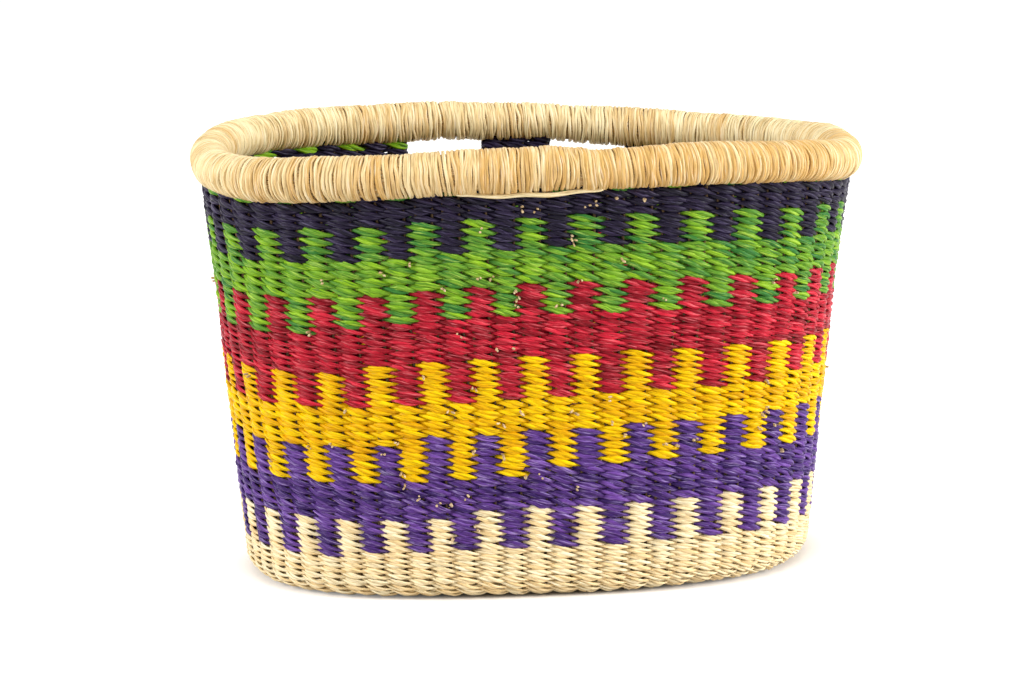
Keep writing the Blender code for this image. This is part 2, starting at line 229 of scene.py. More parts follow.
# Upwards, in millimetres
STRAY_UP = (
    (0, 0, 0, 0, 0, 0, 0, 0, 0, 0),
    (0, -1.5, -1.9, -1.6, -1.0, -0.9, -1.0, -1.6, -1.4, 0),
    (0, 0.2, -0.2, -2.2, -1.2, -0.1, 0.4, 1.1, 1.4, 0),
    (0, 0.4, -1.1, -1.4, -0.7, 0.3, 2.7, 3.0, 3.6, 0),
    (0, -0.5, -2.6, -3.0, -1.6, -0.8, 1.0, 0.7, 1.5, 0),
    (0, -2.4, -5.1, -4.9, -2.0, -1.3, -1.8, -1.7, -1.0, 0),
    (0, -1.3, -3.9, -3.9, -0.6, 0.8, -0.5, -1.3, -0.3, 0),
    (0, -1.5, -2.9, -2.6, -0.6, 0.1, -1.4, -1.5, -0.8, 0),
    (0, -0.6, -0.8, -0.8, -0.2, 0.0, -0.2, -0.2, -0.2, 0),
)
# Along the round, in hundredths of the uprights' spacing
STRAY_ALONG = (
    (0, 0, 0, 0, 0, 0, 0, 0, 0, 0),
    (0, -1, 2, -7, -21, -12, 10, 25, 15, 0),
    (0, -10, -2, -6, -21, -8, 12, 10, 8, 0),
    (0, -29, -18, -13, -10, -4, 7, 15, 6, 0),
    (0, -42, -38, -13, 3, -9, -2, 13, 9, 0),
    (0, -30, -24, -13, -6, -16, 4, 28, 13, 0),
    (0, -27, -24, -3, 1, -5, 19, 30, 18, 0),
    (0, -41, -38, 1, 7, 2, 23, 39, 34, 0),
    (0, -41, -38, 1, 7, 2, 23, 39, 34, 0),
)


def read_table(table, share, climb):
    """A table of strays read at shares and climbs, with a smooth blend between its entries."""
    table = np.array(table, float)

    def cell(value, marks):
        value = np.clip(value, marks[0], marks[-1])
        low = np.clip(np.searchsorted(marks, value, side="right") - 1, 0, len(marks) - 2)
        part = (value - np.take(marks, low)) / (np.take(marks, low + 1) - np.take(marks, low))
        return low, part * part * (3 - 2 * part)

    column, aside = cell(np.mod(share, 1) * UPRIGHTS, STRAY_UPRIGHTS)
    row, above = cell(climb, STRAY_CLIMBS)
    lower = table[row, column] * (1 - aside) + table[row, column + 1] * aside
    upper = table[row + 1, column] * (1 - aside) + table[row + 1, column + 1] * aside
    return lower * (1 - above) + upper * above


def placed(share, climb):
    """Where handwork puts a spot of the wall: its share and climb with all their strays."""
    along = read_table(STRAY_ALONG, share, climb) / 100 / UPRIGHTS
    along = along + DRIFT_ALONG * drift_along(share, climb)
    up = read_table(STRAY_UP, share, climb) / 1000
    up = up + DRIFT_UP * drift_up(share, climb)
    return share + along, climb + up


print("strays up to", np.abs(STRAY_UP).max(), "mm")

# %% [markdown]
# ## Courses and colours
# The wall is twined: two strands go round together, one passing outside an upright while the other
# passes inside, and they change places before the next. With one strand of each colour the outside
# shows the colours in turn, which makes the comb of teeth where two bands meet. So a course only
# needs its height and the colours of its two strands. A new colour may start anywhere on the round,
# and then the edge of its band has a step there.

# %% The table of courses
# The climb where each stretch of the wall ends, and how many courses it holds
BAND_HEIGHTS = (
    (0.0018, 0),
    (0.0288, 9),
    (0.0503, 6),
    (0.0673, 4),
    (0.0918, 6),
    (0.1103, 4),
    (0.1334, 6),
    (0.1558, 6),
    (0.1714, 4),
    (0.1898, 4),
    (0.2066, 4),
    (0.2232, 4),
    (0.2270, 1),
)
# Each colour, the last course that it reaches, and the upright where it ends on that course
ODD_STRAND = (
    ("natural", 14, 32),
    ("purple", 24, 30),
    ("yellow", 34, 28),
    ("red", 44, 0),
    ("green", 52, 0),
    ("navy", 57, 0),
)
EVEN_STRAND = (
    ("natural", 8, 27),
    ("purple", 19, 35),
    ("yellow", 29, 45),
    ("red", 40, 27),
    ("green", 48, 1),
    ("navy", 55, 18),
    ("green", 56, 1),
    ("navy", 57, 1),
)

border_climbs = [climb for climb, _ in BAND_HEIGHTS]
border_counts = np.cumsum([count for _, count in BAND_HEIGHTS])
COURSES = int(border_counts[-1])


def course_climb(count):
    """The climb above the first so many courses."""
    return np.interp(count, border_counts, border_climbs)


def colour_runs(strand, course, first, last):
    """The colours of a strand from one upright to another, as (colour, start, end)."""
    place = next(number for number, (_, end, _) in enumerate(strand) if course <= end)
    colour, end, step = strand[place]
    if course < end or step <= first:
        return [(colour, first, last)]
    return [(strand[place + 1][0], first, step), (colour, step, last)]


print(COURSES, "courses on the wall")

# %% [markdown]
# ## A straw
# Each strand is two straws twisted together. A curve with a round bevel is the natural way to make
# one: the curve carries the path, and the radius at each point makes the straw swell in front of
# an upright and pinch where it goes between two. The curve is then turned into a mesh, so that
# each straw can be pressed flat where it lies against the basket, and can carry its own tint and
# the direction of its fibres.

# %% Curves into straws
# Corners of a straw's section
SIDES = 6
# Keeps the pattern of one straw from running on into the next
STRAW_APART = 0.01


def make_straws(name, straws, flatness):
    """One mesh of many straws. A straw is (points, outward directions, radii, tints, closed)."""
    curve = bpy.data.curves.new(name, "CURVE")
    curve.dimensions = "3D"
    curve.bevel_depth = 1
    curve.bevel_resolution = SIDES // 2 - 2
    curve.twist_mode = "MINIMUM"
    for points, _, radii, _, closed in straws:
        spline = curve.splines.new("POLY")
        spline.points.add(len(points) - 1)
        spline.points.foreach_set("co", np.hstack([points, np.ones((len(points), 1))]).ravel())
        spline.points.foreach_set("radius", np.asarray(radii, float))
        spline.use_cyclic_u = closed
        spline.use_smooth = True
    guide = bpy.data.objects.new(name, curve)
    bpy.context.scene.collection.objects.link(guide)
    depsgraph = bpy.context.evaluated_depsgraph_get()
    mesh = bpy.data.meshes.new_from_object(guide.evaluated_get(depsgraph))
    bpy.data.objects.remove(guide)
    mesh.name = name
    press_flat(mesh, straws, flatness)
    number_straws(mesh, straws)
    if not all(closed for *_, closed in straws):
        close_ends(mesh)
    mesh.shade_smooth()
    piece = bpy.data.objects.new(name, mesh)
    bpy.context.scene.collection.objects.link(piece)
    triangles = sum(len(face.vertices) - 2 for face in mesh.polygons)
    print(name, len(straws), "straws,", triangles, "triangles")
    return piece


def close_ends(mesh):
    """Put a face on each open end of a straw."""
    bm = bmesh.new()
    bm.from_mesh(mesh)
    bmesh.ops.holes_fill(bm, edges=[edge for edge in bm.edges if edge.is_boundary], sides=0)
    bmesh.ops.recalc_face_normals(bm, faces=bm.faces[:])
    bm.to_mesh(mesh)
    bm.free()


def press_flat(mesh, straws, flatness):
    """Move each vertex part of the way to the sheet that its straw lies in."""
    places = np.empty(len(mesh.vertices) * 3, dtype=np.float32)
    mesh.vertices.foreach_get("co", places)
    places = places.reshape(-1, SIDES, 3)
    middles = np.concatenate([straw[0] for straw in straws])[:, None]
    outward = np.concatenate([straw[1] for straw in straws])[:, None]
    above = ((places - middles) * outward).sum(axis=-1, keepdims=True)
    places = places - outward * above * flatness
    mesh.vertices.foreach_set("co", places.astype(np.float32).ravel())


def number_straws(mesh, straws):
    """Give each vertex its straw's tint, and where it lies along and round its straw."""
    tints, fibres = [], []
    around = np.linspace(0, 2 * math.pi, SIDES, endpoint=False)
    for index, (points, _, radii, tint, _) in enumerate(straws):
        steps = np.linalg.norm(np.diff(points, axis=0), axis=1)
        along = np.concatenate([[0], np.cumsum(steps)])[:, None]
        across = np.cos(around)[None, :] * radii[:, None]
        deep = np.sin(around)[None, :] * radii[:, None] + index * STRAW_APART
        fibres.append(np.stack(np.broadcast_arrays(along, across, deep), axis=-1).reshape(-1, 3))
        tints.append(np.repeat(tint, SIDES))
    tints = np.concatenate(tints).astype(np.float32)
    fibres = np.concatenate(fibres).astype(np.float32)
    mesh.attributes.new("tint", "FLOAT", "POINT").data.foreach_set("value", tints)
    fibre = mesh.attributes.new("fibre", "FLOAT_VECTOR", "POINT")
    fibre.data.foreach_set("vector", fibres.ravel())


# %% [markdown]
# ## Twining
# Follow one strand: it swings out in front of an upright and in behind the next, so its distance
# from the wall's middle is a cosine. While it swings it also turns round its partner, so its height
# is a sine. Its own two straws turn round each other at the same pace: they lie one above the other
# in front of an upright, which makes a stitch broad there and pointed where it tucks in.

# %% One strand of a course
# Points of a strand from one upright to the next
STEPS = 6
# The bend at the foot is fuller in front than its plain arc, and one side bulges under the rim
BEND_FULLNESS = 0.0017
BULGE_UPRIGHT, BULGE_SPREAD = 53, 4
BULGE_CLIMBS = (0.08, 0.13, 0.165, 0.19, 0.215)
BULGE_OUT = (0, 0.0016, 0.0008, 0.002, 0.0045)
# A straw's tint: its mean, how many uprights it takes to wander, and its spreads
TINT_MEAN = 0.5
TINT_RUN = 9
TINT_SPREAD = 0.26
STITCH_TINT_SPREAD = 0.8 * TINT_SPREAD
# Where the courses spread apart or crowd, the straws follow, within these shares of their height
THINNEST, THICKEST = 0.85, 1.4
# In shares of the course's height: how far a strand rises and dips, how far its two straws lie
# from its middle, and a straw's radius, which is smaller by PINCH between two uprights
STRAND_RISE, STRAW_ASIDE, STRAW_RADIUS, PINCH = 0.27, 0.26, 0.335, 0.25
# How far in and out the two straws go as they turn round each other, and how far they turn ahead
PLY_SWING, PLY_TURN = 0.0008, 0.15
# What chance adds to each stitch: its thickness, the turn of its straws and its height
PLUMP_SPREAD, TURN_SPREAD, RISE_SPREAD = 0.07, 0.25, 0.05


def tints_along(at):
    """A straw's tint wanders slowly, and each stitch catches the dye a little differently."""
    knots = np.arange(math.floor(at[0]) - TINT_RUN, at[-1] + 2 * TINT_RUN, TINT_RUN)
    wander = np.interp(at, knots, chance.normal(0, TINT_SPREAD, len(knots)))
    stitches = np.round(at / 2).astype(int)
    single = chance.normal(0, STITCH_TINT_SPREAD, stitches.max() - stitches.min() + 1)
    return np.clip(TINT_MEAN + wander + single[stitches - stitches.min()], 0, 1)


def out_of_surface(share, climb):
    """How far the weave stands out of the plain surface at a spot."""
    bend_share = bend_share_at(climb)
    near = np.exp(-((share % 1 * UPRIGHTS - BULGE_UPRIGHT) / BULGE_SPREAD) ** 2)
    full = BEND_FULLNESS * np.sin(math.pi * bend_share) * np.sin(math.pi * share) ** 4
    # The floor keeps the base flat
    drift = DRIFT_OUT * drift_out(share, climb) * (1 - bend_share)
    return full + np.interp(climb, BULGE_CLIMBS, BULGE_OUT) * near + drift


def twine(shares, first, last, climb, height, swing, odd, steps=STEPS, out=0):
    """The two straws of one strand, from one place to another counted in uprights.

    The shares are the uprights' places, and an odd strand passes behind the first of them.
    """
    count = len(shares)
    closed = last - first == count
    at = np.linspace(first, last, round((last - first) * steps) + 1)
    at = at[:-1] if closed else at
    round_again = np.concatenate([shares - 1, shares, shares + 1])
    share = np.interp(at, np.arange(-count, 2 * count), round_again)
    # Where the courses spread apart, the straws are thicker and fill the space
    above, below = (placed(share, climb + side * height / 2)[1] for side in (1, -1))
    height = np.clip(above - below, THINNEST * height, THICKEST * height)
    share, level = placed(share, climb)
    phase = math.pi * (at + odd)
    place = np.floor(at).astype(int) % count

    plump = 1 + chance.normal(0, PLUMP_SPREAD, count)[place]
    turned = phase + PLY_TURN + TURN_SPREAD * chance.normal(0, 1, count)[place]
    strand_out = out + swing * np.cos(phase) + out_of_surface(share, climb)
    strand_up = level - STRAND_RISE * height * np.sin(phase)
    strand_up = strand_up + RISE_SPREAD * height * chance.normal(0, 1, count)[place]
    radii = STRAW_RADIUS * height * plump * (1 - PINCH * np.sin(phase) ** 2)
    straws = []
    for side in (1, -1):
        up = strand_up + side * STRAW_ASIDE * height * plump * np.cos(turned)
        out = strand_out + side * PLY_SWING * np.sin(turned)
        tints = tints_along(at + odd)
        straws.append((lay(share, up, out), outward_at(share, up), radii, tints, closed))
    return straws


# %% Where the uprights stand
# Against an even spacing from the back middle, in shares of that spacing
FOOT_TURN_SHARE, MOUTH_TURN_SHARE = 0.18, -0.32


def turn_share_at(climb):
    """How far the uprights are turned round the basket at a climb."""
    climb = np.clip(climb, 0, None)
    return FOOT_TURN_SHARE + (MOUTH_TURN_SHARE - FOOT_TURN_SHARE) * climb / WALL_TOP


def upright_shares(climb):
    return (np.arange(UPRIGHTS) + turn_share_at(climb)) / UPRIGHTS


# %% [markdown]
# ## Strap slots
# Right under the rim the back wall has two openings, each three uprights wide, for leather straps.
# There the courses don't go round: the two strands turn round the last upright and come back. So a
# course above the sill is laid in two lengths, one for the wall and one for the bridge between the
# slots.

# %% Twine the wall
# How far a strand swings out and in, on the wall and on the base
WALL_SWING, BASE_SWING = 0.00235, 0.0029
# In the bend the strands are packed tight, so they dip in less between the stakes
BEND_TIGHTNESS = 0.3
# The first course above the sill of the slots, and where its two lengths start and end
SLOT_COURSE = 52
WALL_RUN = (4.58, 65.42)
BRIDGE_RUN = (-1.42, 1.42)
wall_straws = {}
for course in range(COURSES):
    low, high = course_climb(course), course_climb(course + 1)
    climb, height = (low + high) / 2, high - low
    bend_share = bend_share_at(climb)
    swing = WALL_SWING + (BASE_SWING - WALL_SWING) * bend_share
    tight = BEND_TIGHTNESS * swing * math.sin(math.pi * bend_share)
    for strand, odd in ((ODD_STRAND, 1), (EVEN_STRAND, 0)):
        ends = WALL_RUN if course >= SLOT_COURSE else (1 - odd, 1 - odd + UPRIGHTS)
        runs = colour_runs(strand, course, *ends)
        if course >= SLOT_COURSE:
            runs.append(("bridge", *BRIDGE_RUN))
        for colour, first, last in runs:
            made = twine(upright_shares(climb), first, last, climb, height, swing - tight, odd,
                         out=tight)
            wall_straws.setdefault(colour, []).extend(made)

print({colour: len(straws) for colour, straws in wall_straws.items()}, "straws")

# %% [markdown]
# ## Twining the base
# Under the basket the same two strands go round and round towards the middle, over and under the
# stakes that cross there. Fewer stakes reach each smaller round, so the places where a strand
# passes a stake are found from the stakes' own straight lines.

# %% Rounds of the base
BASE_COURSE = 0.00313
BASE_STEPS = 5
# Stakes from front to back on either side of the middle one
ACROSS_EACH_SIDE = 11
# A passing place nearer than this to the next is left out, and so is a round with too few places
CLOSEST_STAKES = 0.0065
FEWEST_STAKES = 8
LINE_STEPS = 400


def stake_ends():
    """The two ends of every stake's straight run, as numbers of uprights."""
    half_way = UPRIGHTS // 2
    reach = ACROSS_EACH_SIDE
    across = [(back, half_way - back) for back in range(-reach, reach + 1)]
    along = [(end, -end) for end in range(reach + 1, half_way - reach)]
    return across + along


def crossing_shares(climb):
    """Where one round of the base meets the stakes that still reach it."""
    row = int(round((climb - CLIMB_LOW) / (CLIMBS[1] - CLIMBS[0])))
    ring = SURFACE[row, :-1, :2]
    centre = ring.mean(axis=0)
    half_length, half_width = np.abs(ring - centre).max(axis=0)
    feet = lay(upright_shares(0), np.full(UPRIGHTS, BASE_EDGE), np.zeros(UPRIGHTS))[:, :2]
    steps = np.linspace(0, 1, LINE_STEPS)[:, None]
    found = []
    for first, second in stake_ends():
        line = feet[first] * (1 - steps) + feet[second % UPRIGHTS] * steps
        reach = np.abs((line - centre) / (half_length, half_width)) ** OUTLINE_POWER
        inside = np.flatnonzero(reach.sum(axis=1) < 1)
        for end in inside[[0, -1]] if len(inside) else ():
            away = np.linalg.norm(ring - line[end], axis=1)
            found.append(away.argmin() / SHARE_COLUMNS)
    found = np.sort(np.array(found))
    gaps = np.diff(np.concatenate([found, [found[0] + 1]])) * GIRTHS[row]
    kept = found[gaps > CLOSEST_STAKES]
    # With an even number of places, each strand ends on the side of the base where it began
    return kept[:len(kept) // 2 * 2]


base_straws = []
climb = border_climbs[0] - BASE_COURSE / 2
while climb > CLIMB_LOW:
    shares = crossing_shares(climb) if climb < BASE_EDGE else upright_shares(climb)
    if len(shares) < FEWEST_STAKES:
        break
    for odd in (1, 0):
        made = twine(shares, 0, len(shares), climb, BASE_COURSE, BASE_SWING, odd, BASE_STEPS)
        base_straws.append(made)
    climb -= BASE_COURSE
print(len(base_straws) // 2, "rounds in the base, the last at climb", round(climb, 4))

# %% [markdown]
# ## The rim
# The rim is a bundle of straw, bound all round with one long flat straw after another. The binding
# is a coil of nearly five hundred turns round a section about 23 mm thick. The hand pulls some
# turns tighter than others and lays them a little aslant, and each new straw differs from the last
# in colour and width, so the turns of one straw share those and every turn adds a little of its
# own.

# %% The line of the rim
RIM_HEIGHT = 0.2287
RIM_RADIUS = 0.0115
# The roll is fuller by this share at two opposite places, the first of them here on the round
ROLL_FULLER, ROLL_FULLER_AT = 0.045, 0.37
# It also drifts in thickness as the wall does at this climb
ROLL_DRIFT, ROLL_DRIFT_CLIMB = 0.02, 0.1
# Where the rim strays: the upright, how far up and out in millimetres, and how much fuller it is
RIM_STRAYS = (
    (0, 2.4, 0, 0),
    (2.4, 2.5, 0, 0.02),
    (4.2, 1.0, 0, 0.08),
    (6, 0.6, 0, 0.05),
    (8.8, 0.2, 0, 0.05),
    (12, 1.2, -0.5, 0.02),
    (17, 2.4, -1.8, -0.08),
    (19, 2.2, -2.8, -0.07),
    (21.5, 1.5, -3.0, -0.03),
    (26, 1.5, 0, 0),
    (30, 1.7, 0, 0),
    (33, 2.3, 0, 0.06),
    (35.5, 2.7, 0, 0.06),
    (36.4, 1.9, 0, 0),
    (37.0, 0.6, 0, -0.03),
    (37.8, 1.3, 0, -0.03),
    (40, 1.5, 0, 0),
    (44, 1.2, 0, 0),
    (50, 1.6, 0, 0),
    (54, 3.2, 0, 0.03),
    (58, 2.2, 0, 0),
    (61, 0.8, 0, 0),
    (64.5, -0.6, 0, 0),
    (67.5, 0.8, 0, -0.03),
    (68.5, 2.3, 0, -0.07),
    (70, 2.4, 0, 0),
)


def rim_stray(share, which):
    """One column of the rim's strays, with straight lines between its entries."""
    uprights, values = np.array(RIM_STRAYS)[:, [0, which]].T
    return np.interp(np.mod(share, 1) * UPRIGHTS, uprights, values)


def rim_line(share):
    """The middle line of the rim, with its rises and bulges."""
    climb = RIM_HEIGHT + rim_stray(share, 1) / 1000 + DRIFT_UP * drift_up(share, WALL_TOP)
    return lay(share, climb, rim_stray(share, 2) / 1000)


def fullness(share):
    """The roll's thickness, as a share of its plain thickness."""
    slow = ROLL_FULLER * np.cos(4 * math.pi * (share - ROLL_FULLER_AT))
    slow = slow + ROLL_DRIFT * drift_out(share, ROLL_DRIFT_CLIMB)
    return 1 + slow + rim_stray(share, 3)


# %% The bound rim
RIM_TURNS = 490
TURN_STEPS = 20
TURNS_PER_STRAW = 11
BINDING_WIDTH = 0.0012
BINDING_FLATNESS = 0.25
BINDING_DEPTH = 0.0008
# Spreads of chance, for a whole straw and for each of its turns. Slips, slants, wriggles and bends
# are counted in turns, and tightness and width are shares of the roll's radius and straw's width.
SLIP, SLANT, WRIGGLE, BENDS = (0, 0.13), (0.45, 0.3), (0, 0.16), ((0, 0.17), (0, 0.10))
TIGHTNESS, RIM_TINTS, WIDTHS = (0.006, 0.014), (0.2, 0.2), (0.07, 0.13)
# Where a new straw starts, it slips and stands out a little
START_SLIP, START_LOOSE = 0.2, 0.02
THINNEST_TURN, WIDEST_TURN = 0.7, 1.4
# The mean tint, and how much lighter the back of the rim is painted and the front darker: painted
# light, which evens out the lamps' light round the rim
RIM_TINT, BACK_PAINTED_LIGHTER = 0.55, 0.12


def bind_rim():
    """The binding as one closed coil."""
    number = np.arange(RIM_TURNS * TURN_STEPS)
    turn, part = number // TURN_STEPS, number % TURN_STEPS / TURN_STEPS
    starts = chance.random(RIM_TURNS) < 1 / TURNS_PER_STRAW
    straw = np.cumsum(starts)
    straw[straw == straw[-1]] = 0

    def by_turn(of_straw, of_turn):
        from_straw = chance.normal(0, of_straw, RIM_TURNS + 1)[straw]
        return from_straw + chance.normal(0, of_turn, RIM_TURNS)

    def between_turns(values):
        return values[turn] * (1 - part) + values[(turn + 1) % RIM_TURNS] * part

    slip = between_turns(by_turn(*SLIP) + START_SLIP * starts)
    aslant = between_turns(by_turn(*SLANT))
    wriggle = between_turns(by_turn(*WRIGGLE))
    bends = [between_turns(by_turn(*bend)) for bend in BENDS]
    loose = between_turns(by_turn(*TIGHTNESS) + START_LOOSE * starts)
    angle = 2 * math.pi * part
    share = turn + part + slip - 0.5 * aslant * np.cos(angle) + wriggle * np.cos(2 * angle)
    share = share + bends[0] * np.sin(3 * angle) + bends[1] * np.cos(5 * angle)
    share = share / RIM_TURNS
    radius = RIM_RADIUS * (fullness(share) + loose) - BINDING_DEPTH
    middle = rim_line(share)
    outward = outward_at(share, np.full(share.shape, RIM_HEIGHT))
    away = -outward * np.sin(angle)[:, None]
    away[:, 2] -= np.cos(angle)
    away /= np.linalg.norm(away, axis=1)[:, None]
    points = middle + away * radius[:, None]
    # Painted light: the coil is lighter at the back and darker in front
    painted_light_at_back = np.cos(2 * math.pi * (number / len(number)))
    tints = np.clip(RIM_TINT + by_turn(*RIM_TINTS)[turn] + BACK_PAINTED_LIGHTER * painted_light_at_back, 0, 1)
    radii = BINDING_WIDTH * np.clip(1 + by_turn(*WIDTHS), THINNEST_TURN, WIDEST_TURN)[turn]
    return [(points, away, radii, tints, True)]


rim_straws = bind_rim()

# %% The bundle inside the rim
BUNDLE_STRAWS = 26
BUNDLE_STEPS = 350
BUNDLE_RADIUS = 0.0084
BUNDLE_STRAW_RADIUS = 0.0013
# Round the basket, the bundle sways to and fro and each straw swells, this often and this much
SWAYS, SWAY = 5, 0.3
SWELLS, SWELL = 9, 0.1
BUNDLE_TINTS = (0.1, 0.7)


def bundle_rim():
    """Long straws side by side, seen between the turns of the binding."""
    share = np.arange(BUNDLE_STEPS) / BUNDLE_STEPS
    outward = outward_at(share, np.full(share.shape, RIM_HEIGHT))
    made = []
    for number in range(BUNDLE_STRAWS):
        angle = 2 * math.pi * number / BUNDLE_STRAWS + SWAY * np.sin(2 * math.pi * SWAYS * share)
        away = outward * np.cos(angle)[:, None]
        away[:, 2] += np.sin(angle)
        points = rim_line(share) + away * BUNDLE_RADIUS * fullness(share)[:, None]
        swell = SWELL * np.sin(2 * math.pi * SWELLS * share + 2 * number)
        radii = BUNDLE_STRAW_RADIUS * (1 + swell)
        tints = np.full(BUNDLE_STEPS, chance.uniform(*BUNDLE_TINTS))
        made.append((points, away, radii, tints, True))
    return made


bundle_straws = bundle_rim()

# %% [markdown]
# ## The stakes
# Each stake is two stiff straws. It runs up one wall, across the base and up the other wall, so it
# is laid as two legs on the wall's surface with a straight line between their feet. The stakes from
# front to back lie lower in the base, and the ones from end to end cross on top of them. They are
# given a dark brown finish as painted shade, where they show in the gaps of the weave.

# %% Stakes
STAKE_RADIUS = 0.00095
# The two straws of a stake spread with the basket: this is how far apart they would be at the
# innermost round, and on the wall they are four to five times as far apart
STAKE_APART = 0.0016
LEG_STEPS, ACROSS_STEPS = 26, 14
# The uprights under the slots, counted from the back middle either way, end at the sill
SLOT_UPRIGHTS = (2, 3, 4)
SILL_CLIMB = 0.2015
CROSSING_LIFT = 0.0011
STAKE_SWELL = 0.06
PALEST_STAKE = 0.8


def stake_leg(upright, aside, drop):
    """Points and outward directions from the top of one upright down to the base."""
    in_slot = min(upright % UPRIGHTS, -upright % UPRIGHTS) in SLOT_UPRIGHTS
    climbs = np.linspace(SILL_CLIMB if in_slot else RIM_HEIGHT, BASE_EDGE, LEG_STEPS)
    share, _ = placed((upright + turn_share_at(climbs)) / UPRIGHTS, climbs)
    share = share + aside / GIRTHS[0]
    out = drop * bend_share_at(climbs) + out_of_surface(share, climbs)
    return lay(share, climbs, out), outward_at(share, climbs)


def make_stakes():
    made = []
    for number, (first, second) in enumerate(stake_ends()):
        drop = CROSSING_LIFT if number <= 2 * ACROSS_EACH_SIDE else -CROSSING_LIFT
        for aside in (-STAKE_APART / 2, STAKE_APART / 2):
            down, down_out = stake_leg(first, aside, drop)
            rise, rise_out = stake_leg(second, -aside, drop)
            part = np.linspace(0, 1, ACROSS_STEPS + 2)[1:-1, None]
            across = down[-1] * (1 - part) + rise[-1] * part
            facing_down = np.tile((0, 0, -1), (ACROSS_STEPS, 1))
            points = np.concatenate([down, across, rise[::-1]])
            outward = np.concatenate([down_out, facing_down, rise_out[::-1]])
            radii = STAKE_RADIUS * (1 + STAKE_SWELL * np.sin(np.arange(len(points)) + number))
            tints = np.full(len(points), chance.uniform(0, PALEST_STAKE))
            made.append((points, outward, radii, tints, False))
    return made


stake_straws = make_stakes()
print(len(stake_straws), "straws in the stakes")

# %% [markdown]
# ## Loose ends
# Where a straw runs out, the weaver lays in a new one and cuts both ends off on the outside, so
# pairs of short pale ends stand out of the wall all over. The ones on the front were measured, and
# the ones round the other sides are scattered by chance. One length of binding straw also runs
# loose for a while under the front of the rim.

# %% Cut ends
# Places of the cut ends on the front: uprights from the back middle, and climb in millimetres
CUT_ENDS = (
    (37.82, 214.7), (38.87, 214.1), (37.07, 212.2), (36.75, 210.9), (34.35, 210.9), (34.86, 210.2),
    (32.85, 200.4), (36.19, 195.3), (36.28, 192.8), (30.17, 184.5), (38.08, 182.3), (29.10, 179.4),
    (26.86, 176.3), (33.22, 175.9), (32.69, 175.6), (36.56, 172.1), (31.34, 170.5), (34.07, 168.6),
    (44.26, 166.1), (34.18, 164.2), (34.13, 159.4), (35.79, 159.4), (39.74, 159.1), (45.40, 158.5),
    (26.11, 148.0), (31.89, 145.1), (33.36, 137.2), (34.00, 137.2), (30.45, 123.2), (22.73, 121.6),
    (32.43, 116.6), (44.38, 112.4), (37.70, 107.3), (27.32, 106.1), (31.45, 104.5), (34.20, 102.9),
    (36.35, 101.6), (33.48, 96.5), (44.47, 95.9), (37.84, 95.3), (44.24, 94.0), (39.17, 93.4),
    (29.31, 87.7), (38.38, 87.3), (26.71, 87.3), (45.08, 86.7), (44.19, 86.4), (25.64, 84.8),
    (41.30, 82.9), (32.36, 82.6), (39.97, 82.6), (28.74, 81.6), (40.51, 80.4), (33.48, 80.0),
    (23.61, 73.4), (45.45, 71.1), (29.44, 71.1), (35.04, 67.6), (34.39, 67.6), (29.51, 64.5),
    (36.47, 60.3), (31.96, 58.4), (30.10, 57.8), (31.31, 53.7), (30.80, 53.7), (32.32, 40.0),
    (31.41, 34.9),
)
# The front, which has only the measured ends, and the climbs between which the rest are scattered
FRONT_FROM, FRONT_TO = 19, 49
SCATTERED_ENDS = 55
SCATTER_CLIMBS = (0.01, 0.2)
END_APART = 0.0013
# A cut end's points, from the wall's middle to its tip, and how thick it is at each
END_RISE = np.array([0, 0.5, 0.9, 1])
END_TAPER = np.array([0.8, 1, 1, 0.75])
# Its thickness, length, lean along the round and up, and tint, each with its spread
END_RADIUS, END_RADIUS_SPREAD = 0.00062, 0.12
END_REACH, END_REACH_SPREAD = 0.0048, 0.0004
END_LEAN, END_LEAN_SPREAD = (0.0004, -0.0005), 0.0009
END_TINT, END_TINT_SPREAD = 0.5, 0.25


def cut_pair(share, climb):
    """Two cut ends side by side, each leaning its own way."""
    turned = chance.uniform(0, 2 * math.pi)
    girth = GIRTHS[int((climb - CLIMB_LOW) / (CLIMB_HIGH - CLIMB_LOW) * (CLIMB_ROWS - 1))]
    straws = []
    for side in (-0.5, 0.5):
        aside = side * END_APART * np.array([math.cos(turned), math.sin(turned)])
        lean = chance.normal(0, END_LEAN_SPREAD, 2) + END_LEAN
        reach = END_REACH + chance.normal(0, END_REACH_SPREAD)
        shares = share + (aside[0] + lean[0] * END_RISE) / girth
        climbs = climb + aside[1] + lean[1] * END_RISE
        points = lay(shares, climbs, reach * END_RISE)
        radii = END_RADIUS * (1 + chance.normal(0, END_RADIUS_SPREAD)) * END_TAPER
        tint = np.clip(chance.normal(END_TINT, END_TINT_SPREAD), 0, 1)
        tints = np.full(len(END_RISE), tint)
        straws.append((points, outward_at(shares, climbs), radii, tints, False))
    return straws


cut_straws = []
for upright, height in CUT_ENDS:
    cut_straws += cut_pair(upright / UPRIGHTS, height / 1000)
for _ in range(SCATTERED_ENDS):
    upright = chance.uniform(FRONT_TO, FRONT_FROM + UPRIGHTS) % UPRIGHTS
    climb = chance.uniform(*SCATTER_CLIMBS)
    cut_straws += cut_pair(upright / UPRIGHTS, climb)
print(len(cut_straws), "cut ends")

# %% Straw tucked under the rim
TUCKED_FROM, TUCKED_TO, TUCKED_STEPS = 32.0, 37.3, 60
TUCKED_CLIMB, TUCKED_OUT, TUCKED_RADIUS, TUCKED_TINT = 0.2205, 0.0052, 0.0014, 0.9
# It hangs down between its ends, and wavers by a little
TUCKED_SAG, TUCKED_WAVER = 0.0022, 0.0004


